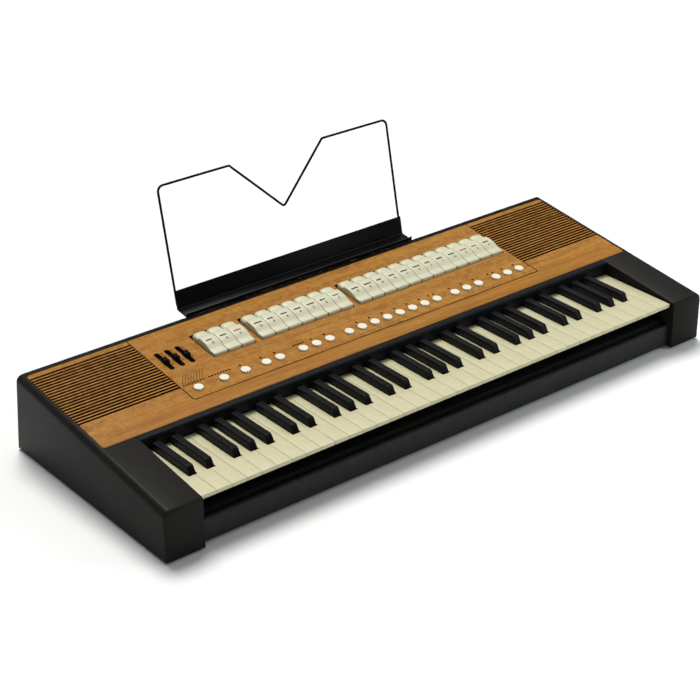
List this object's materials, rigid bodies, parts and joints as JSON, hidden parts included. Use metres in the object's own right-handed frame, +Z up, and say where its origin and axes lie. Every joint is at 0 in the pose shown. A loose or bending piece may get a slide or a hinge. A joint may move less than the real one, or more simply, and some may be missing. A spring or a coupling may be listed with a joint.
{
  "type": "electronic organ",
  "caption": "Portable electronic organ: black case with a sloping wood top, grilles, rocking stop tabs, push buttons, faders, a full keyboard and a lift-off wire music rest.",
  "frame": {"origin": "on the table, under the middle of the organ's outline seen from above", "axes": "+X to the player's right, +Y away from the player, +Z up; the keys face -Y"},
  "size_m": [0.97, 0.414, 0.3041],
  "materials": {
    "black_satin": "satin",
    "black_steel": "satin",
    "oak": "satin lacquer",
    "ivory": "semi-gloss",
    "ebony": "semi-gloss",
    "tab_white": "semi-gloss",
    "button_white": "semi-gloss",
    "cone_paper": "matte"
  },
  "bodies": {
    "case": {"left_cheek": "black_satin", "right_cheek": "black_satin", "case_shell": "black_steel", "front_rail": "black_steel", "fallboard": "black_satin", "wood_panel": "oak", "keybed": "black_steel", "control_chassis": "black_steel", "speaker_left": "cone_paper", "speaker_right": "cone_paper", "connector_panel": "black_steel"},
    "octave_1_CEGB_keys": {"octave_1_CEGB_keys": "ivory"},
    "octave_1_DFA_keys": {"octave_1_DFA_keys": "ivory"},
    "octave_1_black_keys": {"octave_1_black_keys": "ebony"},
    "octave_2_CEGB_keys": {"octave_2_CEGB_keys": "ivory"},
    "octave_2_DFA_keys": {"octave_2_DFA_keys": "ivory"},
    "octave_2_black_keys": {"octave_2_black_keys": "ebony"},
    "octave_3_CEGB_keys": {"octave_3_CEGB_keys": "ivory"},
    "octave_3_DFA_keys": {"octave_3_DFA_keys": "ivory"},
    "octave_3_black_keys": {"octave_3_black_keys": "ebony"},
    "octave_4_CEGB_keys": {"octave_4_CEGB_keys": "ivory"},
    "octave_4_DFA_keys": {"octave_4_DFA_keys": "ivory"},
    "octave_4_black_keys": {"octave_4_black_keys": "ebony"},
    "octave_5_CEGB_keys": {"octave_5_CEGB_keys": "ivory"},
    "octave_5_DFA_keys": {"octave_5_DFA_keys": "ivory"},
    "octave_5_black_keys": {"octave_5_black_keys": "ebony"},
    "stop_tab_01": {"stop_tab_01": "tab_white"},
    "stop_tab_02": {"stop_tab_02": "tab_white"},
    "stop_tab_03": {"stop_tab_03": "tab_white"},
    "stop_tab_04": {"stop_tab_04": "tab_white"},
    "stop_tab_05": {"stop_tab_05": "tab_white"},
    "stop_tab_06": {"stop_tab_06": "tab_white"},
    "stop_tab_07": {"stop_tab_07": "tab_white"},
    "stop_tab_08": {"stop_tab_08": "tab_white"},
    "stop_tab_09": {"stop_tab_09": "tab_white"},
    "stop_tab_10": {"stop_tab_10": "tab_white"},
    "stop_tab_11": {"stop_tab_11": "tab_white"},
    "stop_tab_12": {"stop_tab_12": "tab_white"},
    "stop_tab_13": {"stop_tab_13": "tab_white"},
    "stop_tab_14": {"stop_tab_14": "tab_white"},
    "stop_tab_15": {"stop_tab_15": "tab_white"},
    "stop_tab_16": {"stop_tab_16": "tab_white"},
    "stop_tab_17": {"stop_tab_17": "tab_white"},
    "stop_tab_18": {"stop_tab_18": "tab_white"},
    "stop_tab_19": {"stop_tab_19": "tab_white"},
    "stop_tab_20": {"stop_tab_20": "tab_white"},
    "stop_tab_21": {"stop_tab_21": "tab_white"},
    "stop_tab_22": {"stop_tab_22": "tab_white"},
    "button_strip_1": {"button_strip_1": "button_white"},
    "button_strip_2": {"button_strip_2": "button_white"},
    "button_strip_3": {"button_strip_3": "button_white"},
    "button_strip_4": {"button_strip_4": "button_white"},
    "button_strip_5": {"button_strip_5": "button_white"},
    "button_strip_6": {"button_strip_6": "button_white"},
    "button_strip_7": {"button_strip_7": "button_white"},
    "button_strip_8": {"button_strip_8": "button_white"},
    "fader_1": {"fader_1": "ebony"},
    "fader_2": {"fader_2": "ebony"},
    "fader_3": {"fader_3": "ebony"},
    "music_rest": {"music_rest": "black_steel"}
  },
  "joints": [
    {"name": "octave_1_CEGB_keys_press", "type": "hinge", "parent": "case", "child": "octave_1_CEGB_keys", "pos_m": [-0.42426, 0.023, 0.0632], "axis": [1, 0, 0], "range_deg": [0, 2.5], "stiffness_Nm_per_rad": 4.6, "springref_deg": -7.45},
    {"name": "octave_1_DFA_keys_press", "type": "hinge", "parent": "case", "child": "octave_1_DFA_keys", "pos_m": [-0.42426, 0.023, 0.0668], "axis": [1, 0, 0], "range_deg": [0, 2.5], "stiffness_Nm_per_rad": 3.45, "springref_deg": -7.45},
    {"name": "octave_1_black_keys_press", "type": "hinge", "parent": "case", "child": "octave_1_black_keys", "pos_m": [-0.42426, 0.023, 0.0704], "axis": [1, 0, 0], "range_deg": [0, 2.8], "stiffness_Nm_per_rad": 5.75, "springref_deg": -7.45},
    {"name": "octave_2_CEGB_keys_press", "type": "hinge", "parent": "case", "child": "octave_2_CEGB_keys", "pos_m": [-0.25927, 0.023, 0.0632], "axis": [1, 0, 0], "range_deg": [0, 2.5], "stiffness_Nm_per_rad": 4.6, "springref_deg": -7.45},
    {"name": "octave_2_DFA_keys_press", "type": "hinge", "parent": "case", "child": "octave_2_DFA_keys", "pos_m": [-0.25927, 0.023, 0.0668], "axis": [1, 0, 0], "range_deg": [0, 2.5], "stiffness_Nm_per_rad": 3.45, "springref_deg": -7.45},
    {"name": "octave_2_black_keys_press", "type": "hinge", "parent": "case", "child": "octave_2_black_keys", "pos_m": [-0.25927, 0.023, 0.0704], "axis": [1, 0, 0], "range_deg": [0, 2.8], "stiffness_Nm_per_rad": 5.75, "springref_deg": -7.45},
    {"name": "octave_3_CEGB_keys_press", "type": "hinge", "parent": "case", "child": "octave_3_CEGB_keys", "pos_m": [-0.09428, 0.023, 0.0632], "axis": [1, 0, 0], "range_deg": [0, 2.5], "stiffness_Nm_per_rad": 4.6, "springref_deg": -7.45},
    {"name": "octave_3_DFA_keys_press", "type": "hinge", "parent": "case", "child": "octave_3_DFA_keys", "pos_m": [-0.09428, 0.023, 0.0668], "axis": [1, 0, 0], "range_deg": [0, 2.5], "stiffness_Nm_per_rad": 3.45, "springref_deg": -7.45},
    {"name": "octave_3_black_keys_press", "type": "hinge", "parent": "case", "child": "octave_3_black_keys", "pos_m": [-0.09428, 0.023, 0.0704], "axis": [1, 0, 0], "range_deg": [0, 2.8], "stiffness_Nm_per_rad": 5.75, "springref_deg": -7.45},
    {"name": "octave_4_CEGB_keys_press", "type": "hinge", "parent": "case", "child": "octave_4_CEGB_keys", "pos_m": [0.07071, 0.023, 0.0632], "axis": [1, 0, 0], "range_deg": [0, 2.5], "stiffness_Nm_per_rad": 4.6, "springref_deg": -7.45},
    {"name": "octave_4_DFA_keys_press", "type": "hinge", "parent": "case", "child": "octave_4_DFA_keys", "pos_m": [0.07071, 0.023, 0.0668], "axis": [1, 0, 0], "range_deg": [0, 2.5], "stiffness_Nm_per_rad": 3.45, "springref_deg": -7.45},
    {"name": "octave_4_black_keys_press", "type": "hinge", "parent": "case", "child": "octave_4_black_keys", "pos_m": [0.07071, 0.023, 0.0704], "axis": [1, 0, 0], "range_deg": [0, 2.8], "stiffness_Nm_per_rad": 5.75, "springref_deg": -7.45},
    {"name": "octave_5_CEGB_keys_press", "type": "hinge", "parent": "case", "child": "octave_5_CEGB_keys", "pos_m": [0.2357, 0.023, 0.0632], "axis": [1, 0, 0], "range_deg": [0, 2.5], "stiffness_Nm_per_rad": 5.75, "springref_deg": -7.45},
    {"name": "octave_5_DFA_keys_press", "type": "hinge", "parent": "case", "child": "octave_5_DFA_keys", "pos_m": [0.2357, 0.023, 0.0668], "axis": [1, 0, 0], "range_deg": [0, 2.5], "stiffness_Nm_per_rad": 3.45, "springref_deg": -7.45},
    {"name": "octave_5_black_keys_press", "type": "hinge", "parent": "case", "child": "octave_5_black_keys", "pos_m": [0.2357, 0.023, 0.0704], "axis": [1, 0, 0], "range_deg": [0, 2.8], "stiffness_Nm_per_rad": 5.75, "springref_deg": -7.45},
    {"name": "stop_tab_01_rock", "type": "hinge", "parent": "case", "child": "stop_tab_01", "pos_m": [-0.22203, 0.0726, 0.10375], "axis": [1, 0, 0], "range_deg": [-3.5, 3.5], "stiffness_Nm_per_rad": 0.2},
    {"name": "stop_tab_02_rock", "type": "hinge", "parent": "case", "child": "stop_tab_02", "pos_m": [-0.19848, 0.0726, 0.10375], "axis": [1, 0, 0], "range_deg": [-3.5, 3.5], "stiffness_Nm_per_rad": 0.2},
    {"name": "stop_tab_03_rock", "type": "hinge", "parent": "case", "child": "stop_tab_03", "pos_m": [-0.17492, 0.0726, 0.10375], "axis": [1, 0, 0], "range_deg": [-3.5, 3.5], "stiffness_Nm_per_rad": 0.2},
    {"name": "stop_tab_04_rock", "type": "hinge", "parent": "case", "child": "stop_tab_04", "pos_m": [-0.13983, 0.0726, 0.10375], "axis": [1, 0, 0], "range_deg": [-3.5, 3.5], "stiffness_Nm_per_rad": 0.2},
    {"name": "stop_tab_05_rock", "type": "hinge", "parent": "case", "child": "stop_tab_05", "pos_m": [-0.11628, 0.0726, 0.10375], "axis": [1, 0, 0], "range_deg": [-3.5, 3.5], "stiffness_Nm_per_rad": 0.2},
    {"name": "stop_tab_06_rock", "type": "hinge", "parent": "case", "child": "stop_tab_06", "pos_m": [-0.09273, 0.0726, 0.10375], "axis": [1, 0, 0], "range_deg": [-3.5, 3.5], "stiffness_Nm_per_rad": 0.2},
    {"name": "stop_tab_07_rock", "type": "hinge", "parent": "case", "child": "stop_tab_07", "pos_m": [-0.06918, 0.0726, 0.10375], "axis": [1, 0, 0], "range_deg": [-3.5, 3.5], "stiffness_Nm_per_rad": 0.2},
    {"name": "stop_tab_08_rock", "type": "hinge", "parent": "case", "child": "stop_tab_08", "pos_m": [-0.04562, 0.0726, 0.10375], "axis": [1, 0, 0], "range_deg": [-3.5, 3.5], "stiffness_Nm_per_rad": 0.2},
    {"name": "stop_tab_09_rock", "type": "hinge", "parent": "case", "child": "stop_tab_09", "pos_m": [-0.02208, 0.0726, 0.10375], "axis": [1, 0, 0], "range_deg": [-3.5, 3.5], "stiffness_Nm_per_rad": 0.2},
    {"name": "stop_tab_10_rock", "type": "hinge", "parent": "case", "child": "stop_tab_10", "pos_m": [0.00147, 0.0726, 0.10375], "axis": [1, 0, 0], "range_deg": [-3.5, 3.5], "stiffness_Nm_per_rad": 0.2},
    {"name": "stop_tab_11_rock", "type": "hinge", "parent": "case", "child": "stop_tab_11", "pos_m": [0.03658, 0.0726, 0.10375], "axis": [1, 0, 0], "range_deg": [-3.5, 3.5], "stiffness_Nm_per_rad": 0.2},
    {"name": "stop_tab_12_rock", "type": "hinge", "parent": "case", "child": "stop_tab_12", "pos_m": [0.06012, 0.0726, 0.10375], "axis": [1, 0, 0], "range_deg": [-3.5, 3.5], "stiffness_Nm_per_rad": 0.2},
    {"name": "stop_tab_13_rock", "type": "hinge", "parent": "case", "child": "stop_tab_13", "pos_m": [0.08367, 0.0726, 0.10375], "axis": [1, 0, 0], "range_deg": [-3.5, 3.5], "stiffness_Nm_per_rad": 0.2},
    {"name": "stop_tab_14_rock", "type": "hinge", "parent": "case", "child": "stop_tab_14", "pos_m": [0.10723, 0.0726, 0.10375], "axis": [1, 0, 0], "range_deg": [-3.5, 3.5], "stiffness_Nm_per_rad": 0.2},
    {"name": "stop_tab_15_rock", "type": "hinge", "parent": "case", "child": "stop_tab_15", "pos_m": [0.13078, 0.0726, 0.10375], "axis": [1, 0, 0], "range_deg": [-3.5, 3.5], "stiffness_Nm_per_rad": 0.2},
    {"name": "stop_tab_16_rock", "type": "hinge", "parent": "case", "child": "stop_tab_16", "pos_m": [0.15432, 0.0726, 0.10375], "axis": [1, 0, 0], "range_deg": [-3.5, 3.5], "stiffness_Nm_per_rad": 0.2},
    {"name": "stop_tab_17_rock", "type": "hinge", "parent": "case", "child": "stop_tab_17", "pos_m": [0.17788, 0.0726, 0.10375], "axis": [1, 0, 0], "range_deg": [-3.5, 3.5], "stiffness_Nm_per_rad": 0.2},
    {"name": "stop_tab_18_rock", "type": "hinge", "parent": "case", "child": "stop_tab_18", "pos_m": [0.20142, 0.0726, 0.10375], "axis": [1, 0, 0], "range_deg": [-3.5, 3.5], "stiffness_Nm_per_rad": 0.2},
    {"name": "stop_tab_19_rock", "type": "hinge", "parent": "case", "child": "stop_tab_19", "pos_m": [0.22498, 0.0726, 0.10375], "axis": [1, 0, 0], "range_deg": [-3.5, 3.5], "stiffness_Nm_per_rad": 0.2},
    {"name": "stop_tab_20_rock", "type": "hinge", "parent": "case", "child": "stop_tab_20", "pos_m": [0.24852, 0.0726, 0.10375], "axis": [1, 0, 0], "range_deg": [-3.5, 3.5], "stiffness_Nm_per_rad": 0.2},
    {"name": "stop_tab_21_rock", "type": "hinge", "parent": "case", "child": "stop_tab_21", "pos_m": [0.27208, 0.0726, 0.10375], "axis": [1, 0, 0], "range_deg": [-3.5, 3.5], "stiffness_Nm_per_rad": 0.2},
    {"name": "stop_tab_22_rock", "type": "hinge", "parent": "case", "child": "stop_tab_22", "pos_m": [0.29563, 0.0726, 0.10375], "axis": [1, 0, 0], "range_deg": [-3.5, 3.5], "stiffness_Nm_per_rad": 0.2},
    {"name": "button_strip_1_press", "type": "slide", "parent": "case", "child": "button_strip_1", "axis": [0, -0.1251, 0.9921], "range_m": [-0.0012, 0], "stiffness_N_per_m": 200, "springref_m": 0.003},
    {"name": "button_strip_2_press", "type": "slide", "parent": "case", "child": "button_strip_2", "axis": [0, -0.1251, 0.9921], "range_m": [-0.0012, 0], "stiffness_N_per_m": 200, "springref_m": 0.003},
    {"name": "button_strip_3_press", "type": "slide", "parent": "case", "child": "button_strip_3", "axis": [0, -0.1251, 0.9921], "range_m": [-0.0012, 0], "stiffness_N_per_m": 200, "springref_m": 0.003},
    {"name": "button_strip_4_press", "type": "slide", "parent": "case", "child": "button_strip_4", "axis": [0, -0.1251, 0.9921], "range_m": [-0.0012, 0], "stiffness_N_per_m": 200, "springref_m": 0.003},
    {"name": "button_strip_5_press", "type": "slide", "parent": "case", "child": "button_strip_5", "axis": [0, -0.1251, 0.9921], "range_m": [-0.0012, 0], "stiffness_N_per_m": 200, "springref_m": 0.003},
    {"name": "button_strip_6_press", "type": "slide", "parent": "case", "child": "button_strip_6", "axis": [0, -0.1251, 0.9921], "range_m": [-0.0012, 0], "stiffness_N_per_m": 200, "springref_m": 0.003},
    {"name": "button_strip_7_press", "type": "slide", "parent": "case", "child": "button_strip_7", "axis": [0, -0.1251, 0.9921], "range_m": [-0.0012, 0], "stiffness_N_per_m": 200, "springref_m": 0.003},
    {"name": "button_strip_8_press", "type": "slide", "parent": "case", "child": "button_strip_8", "axis": [0, -0.1251, 0.9921], "range_m": [-0.0012, 0], "stiffness_N_per_m": 200, "springref_m": 0.003},
    {"name": "fader_1_slide", "type": "slide", "parent": "case", "child": "fader_1", "axis": [0, 0.9921, 0.1251], "range_m": [-0.013, 0.021]},
    {"name": "fader_2_slide", "type": "slide", "parent": "case", "child": "fader_2", "axis": [0, 0.9921, 0.1251], "range_m": [-0.013, 0.021]},
    {"name": "fader_3_slide", "type": "slide", "parent": "case", "child": "fader_3", "axis": [0, 0.9921, 0.1251], "range_m": [-0.0122, 0.0218]},
    {"name": "music_rest_lift", "type": "slide", "parent": "case", "child": "music_rest", "axis": [0, -0.1251, 0.9921], "range_m": [0, 0.045]}
  ]
}
